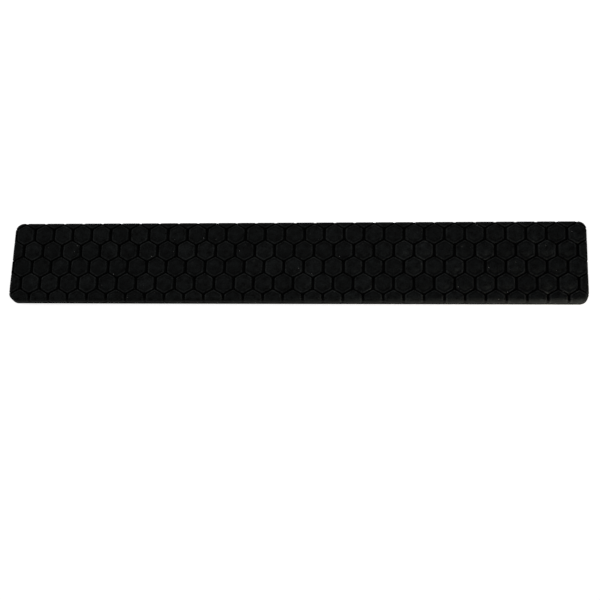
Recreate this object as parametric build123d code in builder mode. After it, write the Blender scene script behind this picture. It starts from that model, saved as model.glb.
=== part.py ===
"""Snowboard stomp pad: a bar of moulded foam with a honeycomb tread, on double-coated tape.

Millimetres, +Z up. The origin is under the middle of the pad, on the surface that its release
liner lies on. +X runs along the pad and +Y across it. The layers are stacked from the liner up.
"""

import os
from math import ceil, hypot, sqrt

from build123d import *

# Outline of the foam
LENGTH = 232.5
WIDTH = 33.5
CORNER_RADIUS = 3.5

# Layers, from the bottom up
LINER_THICKNESS = 0.15
ADHESIVE_THICKNESS = 0.075
FILM_THICKNESS = 0.05
FOAM_THICKNESS = 4.65

# How far the layers under the foam stand in from its edge
TAPE_INSET = 0.25
LINER_OVERHANG = 0.1
LINER_SLIT = 0.1
LINER_SLIT_X = 0.0

# Rounded edge between the tread and the side wall
SHOULDER_RADIUS = 1.4

# Honeycomb tread: pointed-top cells in rows along X, whose slanting grooves are the narrower ones
CELL_PITCH = 8.0
UPRIGHT_GROOVE_WIDTH = 1.0
SLANTING_GROOVE_WIDTH = 0.5
GROOVE_DEPTH = 1.5
PATTERN_SHIFT_X = 0.5
PATTERN_SHIFT_Y = -2.5
SMALLEST_CELL = 1.0

# Where a groove meets the edge, it runs on down the side wall as a flute
FLUTE_DEPTH = 0.3
FLUTE_FOOT = 0.8

# Heights of the seams between the layers
BOARD_ADHESIVE_Z = LINER_THICKNESS
FILM_Z = BOARD_ADHESIVE_Z + ADHESIVE_THICKNESS
PAD_ADHESIVE_Z = FILM_Z + FILM_THICKNESS
FOAM_Z = PAD_ADHESIVE_Z + ADHESIVE_THICKNESS
TREAD_Z = FOAM_Z + FOAM_THICKNESS

# Honeycomb geometry that follows from the pitch and the grooves
ROW_PITCH = CELL_PITCH * sqrt(3) / 2
CELL_HALF_WIDTH = (CELL_PITCH - UPRIGHT_GROOVE_WIDTH) / 2
CELL_SLANT_REACH = (CELL_PITCH - SLANTING_GROOVE_WIDTH) / 2
CELL_TIP = CELL_SLANT_REACH * 2 / sqrt(3)
CELL_FLANK = (CELL_SLANT_REACH - CELL_HALF_WIDTH / 2) * 2 / sqrt(3)
LINER_INSET = TAPE_INSET - LINER_OVERHANG


def outline_distance(x, y):
    """Distance from the foam's outline to a point, negative inside."""
    beyond_x = abs(x) - (LENGTH / 2 - CORNER_RADIUS)
    beyond_y = abs(y) - (WIDTH / 2 - CORNER_RADIUS)
    outside = hypot(max(beyond_x, 0), max(beyond_y, 0))
    return outside + min(max(beyond_x, beyond_y), 0) - CORNER_RADIUS


def cell_centres(smallest):
    """Centres of the honeycomb cells that reach at least smallest inside the foam's outline."""
    rows = ceil((WIDTH / 2 + CELL_PITCH) / ROW_PITCH)
    columns = ceil((LENGTH / 2 + CELL_PITCH) / CELL_PITCH)
    centres = []
    for row in range(-rows, rows + 1):
        y = PATTERN_SHIFT_Y + row * ROW_PITCH
        half_step = CELL_PITCH / 2 * (row % 2)
        for column in range(-columns, columns + 1):
            x = PATTERN_SHIFT_X + half_step + column * CELL_PITCH
            if outline_distance(x, y) <= CELL_HALF_WIDTH - smallest:
                centres.append((x, y))
    return centres


def draw_outline(inset, mode=Mode.ADD):
    """Draws the foam's outline, moved in by inset, in the current sketch."""
    RectangleRounded(LENGTH - 2 * inset, WIDTH - 2 * inset, CORNER_RADIUS - inset, mode=mode)


def draw_groove_net(smallest):
    """Draws the grooves in the current sketch: everything around the pad between its cells."""
    Rectangle(LENGTH + 2 * CELL_PITCH, WIDTH + 2 * CELL_PITCH)
    with Locations(*cell_centres(smallest)):
        Polygon(
            (0, CELL_TIP),
            (-CELL_HALF_WIDTH, CELL_FLANK),
            (-CELL_HALF_WIDTH, -CELL_FLANK),
            (0, -CELL_TIP),
            (CELL_HALF_WIDTH, -CELL_FLANK),
            (CELL_HALF_WIDTH, CELL_FLANK),
            mode=Mode.SUBTRACT,
        )


# Foam pad: a rounded slab with the grooves cut into its tread and down its side wall
with BuildPart() as foam_pad:
    with BuildSketch(Plane.XY.offset(FOAM_Z)):
        draw_outline(0)
    extrude(amount=FOAM_THICKNESS)
    fillet(foam_pad.faces().sort_by(Axis.Z)[-1].edges(), radius=SHOULDER_RADIUS)
    with BuildSketch(Plane.XY.offset(TREAD_Z - GROOVE_DEPTH)):
        draw_groove_net(SMALLEST_CELL)
    extrude(amount=GROOVE_DEPTH, mode=Mode.SUBTRACT)
    with BuildSketch(Plane.XY.offset(FOAM_Z + FLUTE_FOOT)):
        draw_groove_net(-CELL_PITCH)
        draw_outline(FLUTE_DEPTH, Mode.SUBTRACT)
    extrude(amount=FOAM_THICKNESS, mode=Mode.SUBTRACT)


# Double-coated tape: adhesive, carrier film, adhesive
with BuildPart() as pad_adhesive:
    with BuildSketch(Plane.XY.offset(PAD_ADHESIVE_Z)):
        draw_outline(TAPE_INSET)
    extrude(amount=ADHESIVE_THICKNESS)

with BuildPart() as carrier_film:
    with BuildSketch(Plane.XY.offset(FILM_Z)):
        draw_outline(TAPE_INSET)
    extrude(amount=FILM_THICKNESS)

with BuildPart() as board_adhesive:
    with BuildSketch(Plane.XY.offset(BOARD_ADHESIVE_Z)):
        draw_outline(TAPE_INSET)
    extrude(amount=ADHESIVE_THICKNESS)


# Release liner, slit across so that each half peels from the middle outwards
with BuildPart() as liner_left:
    with BuildSketch():
        draw_outline(LINER_INSET)
        with Locations((LINER_SLIT_X - LINER_SLIT / 2, 0)):
            Rectangle(LENGTH, WIDTH, align=(Align.MAX, Align.CENTER), mode=Mode.INTERSECT)
    extrude(amount=LINER_THICKNESS)

with BuildPart() as liner_right:
    with BuildSketch():
        draw_outline(LINER_INSET)
        with Locations((LINER_SLIT_X + LINER_SLIT / 2, 0)):
            Rectangle(LENGTH, WIDTH, align=(Align.MIN, Align.CENTER), mode=Mode.INTERSECT)
    extrude(amount=LINER_THICKNESS)


pieces = {
    "foam_pad": foam_pad,
    "pad_adhesive": pad_adhesive,
    "carrier_film": carrier_film,
    "board_adhesive": board_adhesive,
    "liner_left": liner_left,
    "liner_right": liner_right,
}

os.makedirs("parts", exist_ok=True)
for name, piece in pieces.items():
    piece.part.label = name
    export_step(piece.part, f"parts/{name}.step")
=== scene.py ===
"""Snowboard stomp pad: the looks of a foam bar with a honeycomb tread, its tape and its split liner.

Metres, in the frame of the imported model. The foam is rebuilt here with rounded grooves that run over
its shoulder and down its wall. The tape and the liner keep their CAD shapes and get their materials.
"""

import math

import bpy
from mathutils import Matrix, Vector


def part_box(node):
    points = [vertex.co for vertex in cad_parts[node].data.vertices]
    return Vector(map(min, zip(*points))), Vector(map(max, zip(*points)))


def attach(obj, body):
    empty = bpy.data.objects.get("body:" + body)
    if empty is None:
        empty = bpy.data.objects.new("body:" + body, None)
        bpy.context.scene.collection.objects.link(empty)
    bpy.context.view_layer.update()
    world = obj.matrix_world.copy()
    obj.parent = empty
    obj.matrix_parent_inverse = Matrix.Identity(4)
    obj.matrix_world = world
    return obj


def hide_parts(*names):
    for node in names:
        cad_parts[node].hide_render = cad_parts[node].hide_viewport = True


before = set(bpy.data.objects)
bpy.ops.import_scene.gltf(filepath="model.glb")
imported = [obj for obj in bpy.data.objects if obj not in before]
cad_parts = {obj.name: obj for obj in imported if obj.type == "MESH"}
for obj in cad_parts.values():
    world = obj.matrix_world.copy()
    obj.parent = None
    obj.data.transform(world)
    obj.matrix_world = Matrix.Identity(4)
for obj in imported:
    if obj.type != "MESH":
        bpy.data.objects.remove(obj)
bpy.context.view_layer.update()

MM = 0.001
foam_low, foam_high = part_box("foam_pad")
liner_low, liner_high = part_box("liner_left")

# Foam pad
CORNER_RADIUS = 3.5 * MM
SHOULDER_RADIUS = 1.4 * MM

# Honeycomb tread: pointed-top cells in rows along X
CELL_PITCH = 8.0 * MM
ROW_PITCH = CELL_PITCH * math.sqrt(3) / 2
PATTERN_SHIFT_X = 0.5 * MM
PATTERN_SHIFT_Y = -2.5 * MM
CELL_CROWN = 0.07 * MM
CELL_LIFT = 0.05 * MM
CORNER_SOFTNESS = 26
PATTERN_SEED = 7

# Groove between the cells, measured at half its depth; the slanting ones are narrower
UPRIGHT_GROOVE_WIDTH = 1.0 * MM
SLANTING_GROOVE_WIDTH = 0.5 * MM
GROOVE_DEPTH = 1.5 * MM
WALL_LEAN = math.radians(9)
FOOT_RADIUS = 0.2 * MM
LIP_RADIUS = 0.4 * MM

# A narrow rim inside the lip, and a shallow valley between it and the cell's top. The valley is shallower
# along the upright sides, and so is the painted highlight on the lips
RIM_WIDTH = 0.12 * MM
VALLEY_WIDTH = 0.8 * MM
VALLEY_DEPTH = 0.24 * MM
UPRIGHT_VALLEY_SHARE = 0.12
UPRIGHT_HIGHLIGHT_SHARE = 0.6

# Round a cell, in degrees off the X axis: where its upright sides' share ends, and where the
# slanting sides' share begins
UPRIGHT_UNTIL = 20
SLANTING_FROM = 40

# Down the side wall the grooves are shallower, and they fade out above the tape
FLUTE_SHARE = 0.12
FLUTE_TURN = math.radians(65)
FLUTE_FOOT = 0.8 * MM
FLUTE_FADE = 0.4 * MM

# Points of the wall's lower edge nearer to it or to each other than the snap are joined, and so are
# any two points nearer than the weld
RIM_SNAP = 0.08 * MM
WELD = 0.002 * MM

# How finely a cell is divided
SIDE_STEPS = 8
LIP_STEPS = 3
VALLEY_STEPS = 3
FIELD_TOP_STEPS = 1
EDGE_TOP_STEPS = 4

# Edges that bend more than this stay sharp
CREASE = math.radians(60)


class Tree:
    """Adds nodes to a node tree. An input's value is a plain value or another node's output."""

    def __init__(self, tree):
        self.tree = tree

    def node(self, kind, inputs=None, **settings):
        made = self.tree.nodes.new(kind)
        for name, value in settings.items():
            setattr(made, name, value)
        for name, value in (inputs or {}).items():
            self.feed(made.inputs[name], value)
        return made

    def feed(self, socket, value):
        if isinstance(value, bpy.types.NodeSocket):
            self.tree.links.new(value, socket)
        else:
            socket.default_value = value

    def math(self, operation, *values):
        return self.node("ShaderNodeMath", dict(enumerate(values)), operation=operation).outputs[0]

    def vector(self, operation, *values, output="Vector", **inputs):
        made = self.node("ShaderNodeVectorMath", dict(enumerate(values)), operation=operation)
        for name, value in inputs.items():
            self.feed(made.inputs[name], value)
        return made.outputs[output]

    def scaled(self, vector, factor):
        return self.vector("SCALE", vector, Scale=factor)

    def xyz(self, x=0.0, y=0.0, z=0.0):
        return self.node("ShaderNodeCombineXYZ", {"X": x, "Y": y, "Z": z}).outputs[0]

    def parts(self, vector):
        return self.node("ShaderNodeSeparateXYZ", {0: vector}).outputs

    def ramp(self, value, low, high, to_low=0.0, to_high=1.0, smooth=True):
        """value, mapped from low..high to to_low..to_high and held there outside that range."""
        inputs = {
            "Value": value,
            "From Min": low,
            "From Max": high,
            "To Min": to_low,
            "To Max": to_high,
        }
        kind = "SMOOTHSTEP" if smooth else "LINEAR"
        return self.node("ShaderNodeMapRange", inputs, interpolation_type=kind).outputs[0]

    def mix_value(self, factor, a, b):
        return self.math("MULTIPLY_ADD", factor, self.math("SUBTRACT", b, a), a)

    def mix_color(self, factor, a, b, blend="MIX"):
        made = self.node("ShaderNodeMix", data_type="RGBA", blend_type=blend)
        self.feed(made.inputs[0], factor)
        self.feed(made.inputs[6], a)
        self.feed(made.inputs[7], b)
        return made.outputs[2]


def new_group(name, kind, inputs, outputs):
    """A node group with named sockets, and its input and output nodes."""
    group = bpy.data.node_groups.new(name, kind)
    for socket_name, socket_type in inputs.items():
        group.interface.new_socket(socket_name, in_out="INPUT", socket_type=socket_type)
    for socket_name, socket_type in outputs.items():
        group.interface.new_socket(socket_name, in_out="OUTPUT", socket_type=socket_type)
    return group, group.nodes.new("NodeGroupInput"), group.nodes.new("NodeGroupOutput")


# ---------------------------------------------------------------- one honeycomb cell


def groove_profile():
    """Points from the middle of a groove up to a cell's flat top, as (way in, height)."""
    lean_x, lean_z = math.sin(WALL_LEAN), math.cos(WALL_LEAN)
    slope = math.tan(WALL_LEAN)
    foot_rise = GROOVE_DEPTH / 2 - FOOT_RADIUS * (1 - lean_x)
    lip_rise = GROOVE_DEPTH / 2 - LIP_RADIUS * (1 - lean_x)
    foot_in = UPRIGHT_GROOVE_WIDTH / 2 - foot_rise * slope - FOOT_RADIUS * lean_z
    lip_in = UPRIGHT_GROOVE_WIDTH / 2 + lip_rise * slope + LIP_RADIUS * lean_z
    foot_top = (foot_in + FOOT_RADIUS * lean_z, FOOT_RADIUS * (1 - lean_x) - GROOVE_DEPTH)
    points = [(0.0, -GROOVE_DEPTH), foot_top]
    for step in range(LIP_STEPS + 1):
        turn = WALL_LEAN + (math.pi / 2 - WALL_LEAN) * step / LIP_STEPS
        points.append((lip_in - LIP_RADIUS * math.cos(turn), LIP_RADIUS * (math.sin(turn) - 1)))
    return points


def slanting(angle):
    """0 on a cell's upright sides, 1 on its slanting ones, and between them at its corners."""
    off_upright = math.degrees(math.asin(abs(math.sin(angle))))
    return min(max((off_upright - UPRIGHT_UNTIL) / (SLANTING_FROM - UPRIGHT_UNTIL), 0), 1)


def valley(angle, beyond_lip):
    """The valley inside a cell's rim, from 0 beside it to 1 at its floor."""
    off = abs(beyond_lip - RIM_WIDTH - VALLEY_WIDTH / 2) / (VALLEY_WIDTH / 2)
    share = UPRIGHT_VALLEY_SHARE + (1 - UPRIGHT_VALLEY_SHARE) * slanting(angle)
    return share * (1 + math.cos(math.pi * min(off, 1))) / 2


def hexagon_reach(angle, way_in, lip_in):
    """How far a ring that lies way_in from the groove's middle reaches in a direction."""
    beyond_lip = max(way_in - lip_in, 0) / (CELL_PITCH / 2 - lip_in)
    narrowing = (1 - SLANTING_GROOVE_WIDTH / UPRIGHT_GROOVE_WIDTH) * min(way_in, lip_in) * (1 - beyond_lip)
    ways = [way_in, way_in - narrowing, way_in - narrowing]
    limits = [
        abs(math.cos(angle - math.pi / 3 * side)) / max(CELL_PITCH / 2 - way, 1e-9)
        for side, way in enumerate(ways)
    ]
    sharp = max(limits)
    soft = sharp * sum((limit / sharp) ** CORNER_SOFTNESS for limit in limits) ** (1 / CORNER_SOFTNESS)
    softness = min(way_in / lip_in, 1)
    return 1 / (sharp + (soft - sharp) * softness)


def top_profile(lip_in, top_steps):
    """Points from a cell's lip to just short of its middle, on its crown, as (way in, height)."""
    valley_in = lip_in + RIM_WIDTH
    valley_out = valley_in + VALLEY_WIDTH
    ways = [valley_in + VALLEY_WIDTH * step / VALLEY_STEPS for step in range(VALLEY_STEPS + 1)]
    ways += [valley_out + (CELL_PITCH / 2 - valley_out) * step / top_steps for step in range(1, top_steps)]
    points = []
    for way_in in ways:
        share = (way_in - lip_in) / (CELL_PITCH / 2 - lip_in)
        points.append((way_in, CELL_CROWN * (1 - (1 - share) ** 2)))
    return points


def ring_faces(rings, around):
    """Faces between neighbouring rings of vertices, and from the last ring to one vertex after it."""
    faces = []
    for ring in range(rings - 1):
        for step in range(around):
            after = (step + 1) % around
            outer, inner = ring * around, (ring + 1) * around
            faces.append((outer + step, outer + after, inner + after, inner + step))
    last = (rings - 1) * around
    for step in range(around):
        faces.append((last + step, last + (step + 1) % around, rings * around))
    return faces


def cell_object(name, top_steps):
    """One cell as an open patch: half of the groove round it, its wall, rounded rim and crowned top."""
    groove = groove_profile()
    lip_in = groove[-1][0]
    profile = groove + top_profile(lip_in, top_steps)
    lip_rings = range(len(groove) - LIP_STEPS, len(groove) + 1)
    around = 6 * SIDE_STEPS
    vertices = []
    marks = {"lip": [], "hollow": [], "depth": []}
    for ring, (way_in, height) in enumerate(profile):
        for step in range(around):
            angle = math.pi / 6 + 2 * math.pi * step / around
            reach = hexagon_reach(angle, way_in, lip_in)
            hollow = valley(angle, way_in - lip_in)
            # The lip mark holds the strength of a painted highlight on the lips, fainter along the upright
            # sides
            lip_highlight_strength = UPRIGHT_HIGHLIGHT_SHARE + (1 - UPRIGHT_HIGHLIGHT_SHARE) * slanting(angle)
            level = height - VALLEY_DEPTH * hollow
            vertices.append((reach * math.cos(angle), reach * math.sin(angle), level))
            marks["lip"].append(lip_highlight_strength if ring in lip_rings else 0.0)
            marks["hollow"].append(hollow)
            marks["depth"].append(max(-height / GROOVE_DEPTH, 0.0))
    vertices.append((0.0, 0.0, CELL_CROWN))
    mesh = bpy.data.meshes.new(name)
    mesh.from_pydata(vertices, [], ring_faces(len(profile), around))
    for attribute, values in marks.items():
        data = mesh.attributes.new(attribute, "FLOAT", "POINT").data
        for vertex, value in enumerate(values):
            data[vertex].value = value
    cell = bpy.data.objects.new(name, mesh)
    bpy.context.scene.collection.objects.link(cell)
    return cell


# ---------------------------------------------------------------- the foam pad's tree

PAD_INPUTS = {
    "Field Cell": "NodeSocketObject",
    "Edge Cell": "NodeSocketObject",
    "Length": "NodeSocketFloat",
    "Width": "NodeSocketFloat",
    "Underside": "NodeSocketFloat",
    "Tread Height": "NodeSocketFloat",
    "Corner Radius": "NodeSocketFloat",
    "Shoulder Radius": "NodeSocketFloat",
    "Cell Pitch": "NodeSocketFloat",
    "Row Pitch": "NodeSocketFloat",
    "Shift X": "NodeSocketFloat",
    "Shift Y": "NodeSocketFloat",
    "Groove Depth": "NodeSocketFloat",
    "Cell Lift": "NodeSocketFloat",
    "Flute Share": "NodeSocketFloat",
    "Flute Turn": "NodeSocketFloat",
    "Flute Foot": "NodeSocketFloat",
    "Flute Fade": "NodeSocketFloat",
    "Rim Snap": "NodeSocketFloat",
    "Weld": "NodeSocketFloat",
    "Crease": "NodeSocketFloat",
    "Seed": "NodeSocketInt",
    "Foam": "NodeSocketMaterial",
}


def stored(t, geometry, name, value, data_type="FLOAT"):
    """The geometry with a value kept on its points under a name."""
    inputs = {"Geometry": geometry, "Name": name, "Value": value}
    made = t.node("GeometryNodeStoreNamedAttribute", inputs, data_type=data_type, domain="POINT")
    return made.outputs[0]


def recalled(t, name, data_type="FLOAT"):
    return t.node("GeometryNodeInputNamedAttribute", {"Name": name}, data_type=data_type).outputs[0]


def merged(t, geometry, distance):
    inputs = {"Geometry": geometry, "Distance": distance}
    return t.node("GeometryNodeMergeByDistance", inputs).outputs[0]


def edge_measure(t, size, position):
    """How far a point of the flat pattern lies past the shoulder's start, and the way outwards."""
    x, y, _ = t.parts(position)
    flat = t.xyz(x, y)
    core = t.xyz(
        t.math("SUBTRACT", t.math("DIVIDE", size["Length"], 2), size["Corner Radius"]),
        t.math("SUBTRACT", t.math("DIVIDE", size["Width"], 2), size["Corner Radius"]),
    )
    reach = t.vector("SUBTRACT", t.vector("ABSOLUTE", flat), core)
    outer = t.vector("MAXIMUM", reach, (0.0, 0.0, 0.0))
    reach_x, reach_y, _ = t.parts(reach)
    inside = t.math("MINIMUM", t.math("MAXIMUM", reach_x, reach_y), 0.0)
    beyond = t.math("ADD", t.vector("LENGTH", outer, output="Value"), inside)
    inset = t.math("SUBTRACT", size["Corner Radius"], size["Shoulder Radius"])
    past = t.math("SUBTRACT", beyond, inset)
    outwards = t.vector("MULTIPLY", t.vector("NORMALIZE", outer), t.vector("SIGN", flat))
    return past, outwards, flat


def lattice_points(t, size):
    """One point for each cell, far enough out to cover the side wall too."""
    for_walls = 4.0
    columns = t.math("CEIL", t.math("DIVIDE", size["Length"], size["Cell Pitch"]))
    columns = t.math("ADD", columns, for_walls)
    rows = t.math("ADD", t.math("CEIL", t.math("DIVIDE", size["Width"], size["Row Pitch"])), for_walls)
    index = t.node("GeometryNodeInputIndex").outputs[0]
    row = t.math("FLOOR", t.math("DIVIDE", index, columns))
    column = t.math("FLOORED_MODULO", index, columns)
    middle_row = t.math("FLOOR", t.math("DIVIDE", rows, 2))
    middle_column = t.math("FLOOR", t.math("DIVIDE", columns, 2))
    from_row = t.math("SUBTRACT", row, middle_row)
    half_step = t.math("DIVIDE", t.math("FLOORED_MODULO", from_row, 2.0), 2.0)
    from_column = t.math("ADD", t.math("SUBTRACT", column, middle_column), half_step)
    place = t.xyz(
        t.math("MULTIPLY_ADD", from_column, size["Cell Pitch"], size["Shift X"]),
        t.math("MULTIPLY_ADD", from_row, size["Row Pitch"], size["Shift Y"]),
    )
    count = t.math("MULTIPLY", columns, rows)
    points = t.node("GeometryNodePoints", {"Count": count, "Position": place}).outputs[0]
    span = {2: -1.0, 3: 1.0, "Seed": size["Seed"]}
    chance = t.node("FunctionNodeRandomValue", span, data_type="FLOAT").outputs[1]
    return stored(t, points, "cell_chance", chance)


def tiled_cells(t, size):
    """The flat honeycomb: plain cells in the field and finer ones where the sheet will bend."""
    points = lattice_points(t, size)
    position = t.node("GeometryNodeInputPosition").outputs[0]
    past, _, _ = edge_measure(t, size, position)
    cell_reach = t.math("MULTIPLY", size["Cell Pitch"], -0.6)
    in_field = t.math("LESS_THAN", past, cell_reach)
    sheet_end = t.math("ADD", size["Tread Height"], size["Cell Pitch"])
    at_edge = t.math("SUBTRACT", t.math("LESS_THAN", past, sheet_end), in_field)
    kinds = []
    for cell, chosen in (("Field Cell", in_field), ("Edge Cell", at_edge)):
        source = t.node("GeometryNodeObjectInfo", {"Object": size[cell]}).outputs["Geometry"]
        placed = {"Points": points, "Selection": chosen, "Instance": source}
        kinds.append(t.node("GeometryNodeInstanceOnPoints", placed).outputs[0])
    joined = t.node("GeometryNodeJoinGeometry")
    for kind in kinds:
        t.tree.links.new(kind, joined.inputs[0])
    real = t.node("GeometryNodeRealizeInstances", {"Geometry": joined.outputs[0]}).outputs[0]
    return merged(t, real, size["Weld"])


def shoulder_bend(t, size, past, outwards, flat):
    """Where a flat point goes on the bent sheet: its place in plan, height, turn and outward normal."""
    way = t.math("MAXIMUM", past, 0.0)
    turn = t.math("MINIMUM", t.math("DIVIDE", way, size["Shoulder Radius"]), math.pi / 2)
    quarter = t.math("MULTIPLY", size["Shoulder Radius"], math.pi / 2)
    drop = t.math("MAXIMUM", t.math("SUBTRACT", way, quarter), 0.0)
    fall = t.math("MULTIPLY", size["Shoulder Radius"], t.math("SUBTRACT", 1.0, t.math("COSINE", turn)))
    height = t.math("SUBTRACT", t.math("SUBTRACT", size["Tread Height"], fall), drop)
    run = t.math("SUBTRACT", t.math("MULTIPLY", size["Shoulder Radius"], t.math("SINE", turn)), way)
    plan = t.vector("ADD", flat, t.scaled(outwards, run))
    normal = t.vector(
        "ADD",
        t.scaled(outwards, t.math("SINE", turn)),
        t.xyz(0.0, 0.0, t.math("COSINE", turn)),
    )
    return plan, height, turn, normal


def relief_on_edge(t, size, relief, height, turn):
    """The pattern's relief, uneven from cell to cell and shallower on the wall, and the share of the
    pattern that is left at a height, which fades to 0 at the wall's foot."""
    lift = t.math("MULTIPLY", recalled(t, "cell_chance"), size["Cell Lift"])
    top_share = t.math("ADD", t.math("DIVIDE", relief, size["Groove Depth"]), 1.0)
    relief = t.math("MULTIPLY_ADD", lift, t.math("MINIMUM", top_share, 1.0), relief)
    wall_share = t.ramp(turn, 0.0, size["Flute Turn"], 1.0, size["Flute Share"])
    foot = t.math("ADD", size["Underside"], size["Flute Foot"])
    fade = t.ramp(
        height,
        t.math("SUBTRACT", foot, size["Flute Fade"]),
        t.math("ADD", foot, size["Flute Fade"]),
    )
    return t.math("MULTIPLY", relief, t.math("MULTIPLY", wall_share, fade)), fade


def wrapped_over_edge(t, size, sheet):
    """Bends the flat sheet over the shoulder and down the wall, and cuts it off at the underside."""
    position = t.node("GeometryNodeInputPosition").outputs[0]
    plan, height, turn, normal = shoulder_bend(t, size, *edge_measure(t, size, position))
    relief, fade = relief_on_edge(t, size, t.parts(position)[2], height, turn)
    below = t.math("LESS_THAN", height, t.math("ADD", size["Underside"], size["Rim Snap"]))
    held = t.xyz(0.0, 0.0, t.mix_value(below, height, size["Underside"]))
    placed = t.vector("ADD", t.vector("ADD", plan, held), t.scaled(normal, relief))

    marked = sheet
    for name in ("lip", "hollow", "depth"):
        marked = stored(t, marked, name, t.math("MULTIPLY", recalled(t, name), fade))
    marked = stored(t, marked, "below", below, data_type="BOOLEAN")
    bent = t.node("GeometryNodeSetPosition", {"Geometry": marked, "Position": placed}).outputs[0]
    gone = recalled(t, "below", data_type="BOOLEAN")
    spare = {"Geometry": bent, "Selection": gone}
    trimmed = t.node("GeometryNodeDeleteGeometry", spare, domain="FACE").outputs[0]
    rim = {"Geometry": trimmed, "Selection": gone, "Distance": size["Rim Snap"]}
    return t.node("GeometryNodeMergeByDistance", rim).outputs[0]


def closed_underneath(t, size, shell):
    """Closes the flat underside, from the wall's lower edge in to its middle."""
    neighbours = t.node("GeometryNodeInputMeshEdgeNeighbors").outputs[0]
    one_face = t.math("LESS_THAN", neighbours, 1.5)
    rim = {"Mesh": shell, "Selection": one_face, "Offset Scale": 0.0}
    drawn = t.node("GeometryNodeExtrudeMesh", rim, mode="EDGES").outputs
    middle = t.xyz(0.0, 0.0, size["Underside"])
    fan = {"Geometry": drawn["Mesh"], "Selection": drawn["Top"], "Position": middle}
    fan = t.node("GeometryNodeSetPosition", fan).outputs[0]
    return merged(t, fan, size["Weld"])


def honeycomb_pad_tree():
    """The foam pad as a tree: tile the cells, bend the sheet over the edge, close it and finish it."""
    tree, start, end = new_group(
        "honeycomb_pad", "GeometryNodeTree", PAD_INPUTS, {"Geometry": "NodeSocketGeometry"}
    )
    t = Tree(tree)
    size = start.outputs
    shell = wrapped_over_edge(t, size, tiled_cells(t, size))
    whole = closed_underneath(t, size, shell)
    crease = t.node("GeometryNodeInputMeshEdgeAngle").outputs[0]
    soft = t.math("LESS_THAN", crease, size["Crease"])
    smooth = t.node("GeometryNodeSetShadeSmooth", {"Geometry": whole}, domain="FACE").outputs[0]
    smooth = t.node(
        "GeometryNodeSetShadeSmooth", {"Geometry": smooth, "Shade Smooth": soft}, domain="EDGE"
    ).outputs[0]
    real = t.node("GeometryNodeRealizeInstances", {"Geometry": smooth}).outputs[0]
    finished = t.node("GeometryNodeSetMaterial", {"Geometry": real, "Material": size["Foam"]})
    tree.links.new(finished.outputs[0], end.inputs[0])
    return tree


def foam_pad(material):
    """The foam pad's mesh, made by the tree and kept as a plain mesh."""
    cells = [
        cell_object("field_cell", FIELD_TOP_STEPS),
        cell_object("edge_cell", EDGE_TOP_STEPS),
    ]
    maker = bpy.data.objects.new("pad_maker", bpy.data.meshes.new("pad_maker"))
    bpy.context.scene.collection.objects.link(maker)
    modifier = maker.modifiers.new("honeycomb", "NODES")
    modifier.node_group = honeycomb_pad_tree()
    values = {
        "Field Cell": cells[0],
        "Edge Cell": cells[1],
        "Length": foam_high.x - foam_low.x,
        "Width": foam_high.y - foam_low.y,
        "Underside": foam_low.z,
        "Tread Height": foam_high.z,
        "Corner Radius": CORNER_RADIUS,
        "Shoulder Radius": SHOULDER_RADIUS,
        "Cell Pitch": CELL_PITCH,
        "Row Pitch": ROW_PITCH,
        "Shift X": PATTERN_SHIFT_X,
        "Shift Y": PATTERN_SHIFT_Y,
        "Groove Depth": GROOVE_DEPTH,
        "Cell Lift": CELL_LIFT,
        "Flute Share": FLUTE_SHARE,
        "Flute Turn": FLUTE_TURN,
        "Flute Foot": FLUTE_FOOT,
        "Flute Fade": FLUTE_FADE,
        "Rim Snap": RIM_SNAP,
        "Weld": WELD,
        "Crease": CREASE,
        "Seed": PATTERN_SEED,
        "Foam": material,
    }
    for item in modifier.node_group.interface.items_tree:
        if item.in_out == "INPUT":
            modifier[item.identifier] = values[item.name]
    graph = bpy.context.evaluated_depsgraph_get()
    mesh = bpy.data.meshes.new_from_object(
        maker.evaluated_get(graph), preserve_all_data_layers=True, depsgraph=graph
    )
    for spent in (maker, *cells):
        bpy.data.objects.remove(spent)
    mesh.name = "foam_tread"
    pad = bpy.data.objects.new("foam_tread", mesh)
    bpy.context.scene.collection.objects.link(pad)
    return pad


# ---------------------------------------------------------------- shared surface effects


def grain_group():
    """Fine grain with broad, faint clouds: a tone round 1 and a height round 0."""
    inputs = {
        "Vector": "NodeSocketVector",
        "Grain Size": "NodeSocketFloat",
        "Cloud Size": "NodeSocketFloat",
        "Contrast": "NodeSocketFloat",
    }
    outputs = {"Tone": "NodeSocketFloat", "Height": "NodeSocketFloat"}
    group, start, end = new_group("surface_grain", "ShaderNodeTree", inputs, outputs)
    t = Tree(group)
    place = start.outputs["Vector"]
    pebble = t.node(
        "ShaderNodeTexVoronoi",
        {"Vector": place, "Scale": t.math("DIVIDE", 1.0, start.outputs["Grain Size"]), "Smoothness": 0.7},
        feature="SMOOTH_F1",
    ).outputs["Distance"]
    fleck = t.node(
        "ShaderNodeTexNoise",
        {"Vector": place, "Scale": t.math("DIVIDE", 0.4, start.outputs["Grain Size"]), "Detail": 3.0},
    ).outputs[0]
    cloud = t.node(
        "ShaderNodeTexNoise",
        {"Vector": place, "Scale": t.math("DIVIDE", 1.0, start.outputs["Cloud Size"]), "Detail": 2.0},
    ).outputs[0]
    height = t.math("ADD", t.math("MULTIPLY", pebble, 0.6), t.math("MULTIPLY", fleck, 0.4))
    t.feed(end.inputs["Height"], height)
    mixed = t.math("ADD", t.math("SUBTRACT", cloud, 0.5), t.math("SUBTRACT", fleck, 0.5))
    t.feed(end.inputs["Tone"], t.math("MULTIPLY_ADD", mixed, start.outputs["Contrast"], 1.0))
    return group


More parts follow.
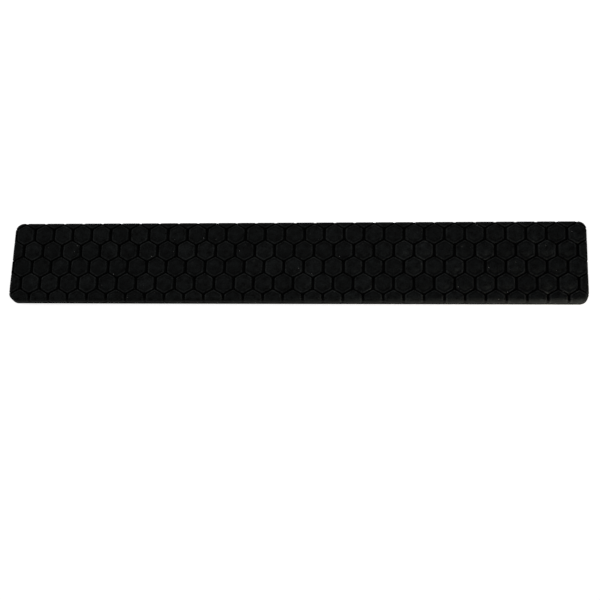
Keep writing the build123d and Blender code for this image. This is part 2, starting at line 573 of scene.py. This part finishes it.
def dust_group():
    """Sparse specks of dust: 1 on a speck and 0 beside it."""
    inputs = {
        "Vector": "NodeSocketVector",
        "Spacing": "NodeSocketFloat",
        "Speck Share": "NodeSocketFloat",
        "Coverage": "NodeSocketFloat",
    }
    group, start, end = new_group("dust", "ShaderNodeTree", inputs, {"Mask": "NodeSocketFloat"})
    t = Tree(group)
    specks = t.node(
        "ShaderNodeTexVoronoi",
        {"Vector": start.outputs["Vector"], "Scale": t.math("DIVIDE", 1.0, start.outputs["Spacing"])},
    )
    draw = t.parts(specks.outputs["Color"])
    size = t.math("MULTIPLY", start.outputs["Speck Share"], draw[1])
    near = t.math("LESS_THAN", specks.outputs["Distance"], size)
    kept = t.math("LESS_THAN", draw[0], start.outputs["Coverage"])
    t.feed(end.inputs["Mask"], t.math("MULTIPLY", near, kept))
    return group


GRAIN = grain_group()
DUST = dust_group()


# ---------------------------------------------------------------- materials


def new_material(name, **constants):
    """A material with one Principled BSDF, whose uniform values are set on its own sockets."""
    material = bpy.data.materials.new(name)
    material.use_nodes = True
    shader = material.node_tree.nodes["Principled BSDF"]
    for socket, value in constants.items():
        shader.inputs[socket.replace("_", " ")].default_value = value
    t = Tree(material.node_tree)
    place = t.node("ShaderNodeTexCoord").outputs["Object"]
    return material, t, shader, place


def add_grain(t, place, grain_size, cloud_size, contrast):
    inputs = {"Vector": place, "Grain Size": grain_size, "Cloud Size": cloud_size, "Contrast": contrast}
    node = t.node("ShaderNodeGroup", node_tree=GRAIN)
    for name, value in inputs.items():
        t.feed(node.inputs[name], value)
    return node.outputs["Tone"], node.outputs["Height"]


def add_dust(t, place, spacing, speck_share, coverage):
    inputs = {"Vector": place, "Spacing": spacing, "Speck Share": speck_share, "Coverage": coverage}
    node = t.node("ShaderNodeGroup", node_tree=DUST)
    for name, value in inputs.items():
        t.feed(node.inputs[name], value)
    return node.outputs["Mask"]


def attribute(t, name):
    return t.node("ShaderNodeAttribute", attribute_name=name).outputs["Fac"]


def add_bump(t, shader, height, depth, strength):
    bump = t.node("ShaderNodeBump", {"Height": height, "Distance": depth, "Strength": strength})
    t.feed(shader.inputs["Normal"], bump.outputs[0])


def foam_material():
    """Black closed-cell foam: a fine moulded skin, dusty, with painted shade in the grooves and the
    valleys and a painted highlight along the lips.
    """
    black = (0.0091, 0.0103, 0.0104, 1)
    # Lips: a paler colour that is a painted highlight along the cell rims
    lip_highlight_color = (0.0180, 0.0196, 0.0196, 1)
    # Groove bottoms: a darker colour that is painted shade
    groove_shade_color = (0.0012, 0.0013, 0.0014, 1)
    speck = (0.55, 0.54, 0.52, 1)
    lip_highlight_strength = 1.1
    cell_variety = 0.2
    hollow_shade = -0.45
    material, t, shader, place = new_material(
        "black_foam", Specular_IOR_Level=0.12, Sheen_Weight=0.06, Sheen_Roughness=0.35
    )
    tone, height = add_grain(t, place, grain_size=0.22 * MM, cloud_size=2.2 * MM, contrast=3.4)
    lip = attribute(t, "lip")
    hollow = attribute(t, "hollow")
    depth = attribute(t, "depth")
    chance = attribute(t, "cell_chance")
    # Painted highlight: the lips turn paler by the lip mark
    color = t.mix_color(t.math("MULTIPLY", lip, lip_highlight_strength), black, lip_highlight_color)
    # Painted shade: the valleys inside the rims are darkened by the hollow mark
    hollow_shade_factor = t.math("MULTIPLY_ADD", hollow, hollow_shade, 1.0)
    cell_tone = t.math("MULTIPLY_ADD", chance, cell_variety, hollow_shade_factor)
    color = t.scaled(color, t.math("MULTIPLY", tone, cell_tone))
    # Painted shade: the colour turns darker towards the bottom of the grooves
    color = t.mix_color(t.ramp(depth, 0.15, 0.8), color, groove_shade_color)
    patches = t.node("ShaderNodeTexNoise", {"Vector": place, "Scale": 1 / (25 * MM)}).outputs[0]
    coverage = t.ramp(patches, 0.42, 0.6, 0.15, 1.0)
    dust = add_dust(t, place, spacing=2.5 * MM, speck_share=0.06, coverage=coverage)
    t.feed(shader.inputs["Base Color"], t.mix_color(dust, color, speck))
    t.feed(shader.inputs["Roughness"], t.ramp(tone, 0.6, 1.4, 0.72, 0.92, smooth=False))
    add_bump(t, shader, height, depth=0.03 * MM, strength=0.6)
    return material


def adhesive_material():
    """Milky acrylic adhesive, with the faint wet-out clouds of a coated tape."""
    milky = (0.62, 0.60, 0.54, 1)
    clear = (0.50, 0.48, 0.42, 1)
    material, t, shader, place = new_material("milky_adhesive", Specular_IOR_Level=0.5)
    tone, height = add_grain(t, place, grain_size=0.5 * MM, cloud_size=9 * MM, contrast=1.2)
    t.feed(shader.inputs["Base Color"], t.mix_color(t.ramp(tone, 0.7, 1.3), clear, milky))
    t.feed(shader.inputs["Roughness"], t.ramp(tone, 0.6, 1.4, 0.16, 0.3, smooth=False))
    add_bump(t, shader, height, depth=0.02 * MM, strength=0.5)
    return material


def film_material():
    """Clear carrier film, seen only as a bright line in the tape's edge."""
    faint = (0.80, 0.82, 0.83, 1)
    bright = (0.90, 0.92, 0.93, 1)
    material, t, shader, place = new_material(
        "clear_film", Specular_IOR_Level=0.5, Transmission_Weight=0.6, IOR=1.57
    )
    tone, height = add_grain(t, place, grain_size=0.3 * MM, cloud_size=12 * MM, contrast=0.3)
    t.feed(shader.inputs["Base Color"], t.mix_color(t.ramp(tone, 0.8, 1.2), faint, bright))
    t.feed(shader.inputs["Roughness"], t.ramp(tone, 0.6, 1.4, 0.08, 0.15, smooth=False))
    add_bump(t, shader, height, depth=0.005 * MM, strength=0.3)
    return material


def ruled_lines(t, place, spacing, width):
    """A square grid of thin ruled lines: 1 on a line and 0 beside it."""
    lines = []
    for along in t.parts(place)[:2]:
        share = t.math("FRACT", t.math("ADD", t.math("DIVIDE", along, spacing), 0.5))
        off = t.math("ABSOLUTE", t.math("SUBTRACT", share, 0.5))
        lines.append(t.math("LESS_THAN", off, width / spacing / 2))
    return t.math("MAXIMUM", *lines)


def liner_material():
    """Cream release paper: silicone-glossy towards the adhesive, with ruled squares on its back."""
    paper = (0.93, 0.90, 0.81, 1)
    shadow = (0.86, 0.82, 0.71, 1)
    ink = (0.36, 0.47, 0.56, 1)
    speck = (0.30, 0.28, 0.25, 1)
    glossy = 0.24
    dull = 0.52
    material, t, shader, place = new_material("release_paper", Specular_IOR_Level=0.45)
    tone, height = add_grain(t, place, grain_size=0.35 * MM, cloud_size=7 * MM, contrast=1.0)
    color = t.mix_color(t.ramp(tone, 0.7, 1.3), shadow, paper)
    middle = (liner_low.z + liner_high.z) / 2
    back = t.math("LESS_THAN", t.parts(place)[2], middle)
    lines = ruled_lines(t, place, spacing=10 * MM, width=0.35 * MM)
    print_mask = t.math("MULTIPLY", lines, back)
    worn_print = t.math("MULTIPLY", print_mask, t.ramp(tone, 0.75, 1.25, 0.45, 0.8))
    color = t.mix_color(worn_print, color, ink)
    dust = add_dust(t, place, spacing=8 * MM, speck_share=0.02, coverage=0.2)
    t.feed(shader.inputs["Base Color"], t.mix_color(dust, color, speck))
    t.feed(shader.inputs["Roughness"], t.mix_value(back, glossy, dull))
    add_bump(t, shader, height, depth=0.02 * MM, strength=0.5)
    return material


def finish_node(node, material):
    """Gives a CAD node its material in every slot."""
    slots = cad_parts[node].data.materials
    if not slots:
        slots.append(material)
    for index in range(len(slots)):
        slots[index] = material


# ---------------------------------------------------------------- the object

tread = foam_pad(foam_material())
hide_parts("foam_pad")
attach(tread, "pad")

adhesive = adhesive_material()
finish_node("pad_adhesive", adhesive)
finish_node("board_adhesive", adhesive)
finish_node("carrier_film", film_material())
liner = liner_material()
finish_node("liner_left", liner)
finish_node("liner_right", liner)


# ---------------------------------------------------------------- floor, light and camera


def studio_floor():
    """A pale floor that glows a little, as a lit sweep does, so that it stays white."""
    half = 4.0
    cast_glow = 0.12
    near_glow = 0.85
    far_glow = 1.1
    mesh = bpy.data.meshes.new("floor")
    corners = [(-half, -half, 0), (half, -half, 0), (half, half, 0), (-half, half, 0)]
    mesh.from_pydata(corners, [], [(0, 1, 2, 3)])
    floor = bpy.data.objects.new("floor", mesh)
    bpy.context.scene.collection.objects.link(floor)
    material = bpy.data.materials.new("pale_floor")
    material.use_nodes = True
    shader = material.node_tree.nodes["Principled BSDF"]
    shader.inputs["Base Color"].default_value = (0.9, 0.9, 0.9, 1)
    shader.inputs["Roughness"].default_value = 0.9
    shader.inputs["Specular IOR Level"].default_value = 0.0
    shader.inputs["Emission Color"].default_value = (1, 1, 1, 1)
    t = Tree(material.node_tree)
    seen = t.node("ShaderNodeLightPath").outputs["Is Camera Ray"]
    place = t.node("ShaderNodeTexCoord").outputs["Object"]
    away = t.vector("LENGTH", place, output="Value")
    shown = t.ramp(away, 0.15, 0.8, near_glow, far_glow)
    t.feed(shader.inputs["Emission Strength"], t.mix_value(seen, cast_glow, shown))
    mesh.materials.append(material)


def studio_world():
    """White where the camera sees it, and much dimmer as a source of light."""
    cast = 0.023
    shown = 1.1
    world = bpy.data.worlds.new("studio")
    bpy.context.scene.world = world
    world.use_nodes = True
    t = Tree(world.node_tree)
    seen = t.node("ShaderNodeLightPath").outputs["Is Camera Ray"]
    background = world.node_tree.nodes["Background"]
    background.inputs["Color"].default_value = (1, 1, 1, 1)
    t.feed(background.inputs["Strength"], t.mix_value(seen, cast, shown))


def softbox(name, place, aim, size, power, color=(1, 1, 1)):
    light = bpy.data.lights.new(name, "AREA")
    light.shape = "RECTANGLE"
    light.size, light.size_y = size
    light.energy = power
    light.color = color
    box = bpy.data.objects.new(name, light)
    box.location = place
    box.rotation_euler = (Vector(aim) - Vector(place)).to_track_quat("-Z", "Y").to_euler()
    box.visible_camera = False
    bpy.context.scene.collection.objects.link(box)


CAMERA_PLACE = (54.99 * MM, -157.11 * MM, 461.63 * MM)
CAMERA_TURN = (17.223, 5.833, 1.932)
CAMERA_LENS = 72.7


def studio_camera():
    data = bpy.data.cameras.new("camera")
    data.lens = CAMERA_LENS
    camera = bpy.data.objects.new("camera", data)
    camera.location = CAMERA_PLACE
    camera.rotation_euler = [math.radians(turn) for turn in CAMERA_TURN]
    bpy.context.scene.collection.objects.link(camera)
    bpy.context.scene.camera = camera


studio_floor()
studio_world()
softbox("left", place=(-1.3, 0.2, 0.75), aim=(0, 0, 0), size=(0.5, 0.5), power=4.8)
softbox("back", place=(0.3, 0.9, 0.5), aim=(0, 0, 0), size=(0.5, 0.4), power=1.6)
softbox("overhead", place=(0.015, -0.01, 0.22), aim=(0.015, 0, 0), size=(0.14, 0.1), power=0.066)
softbox(
    "front_right",
    place=(0.13, -0.10, 0.008),
    aim=(0.1, 0, 0.004),
    size=(0.06, 0.008),
    power=0.105,
    color=(1.0, 0.94, 0.8),
)
studio_camera()
bpy.context.scene.view_settings.view_transform = "Standard"
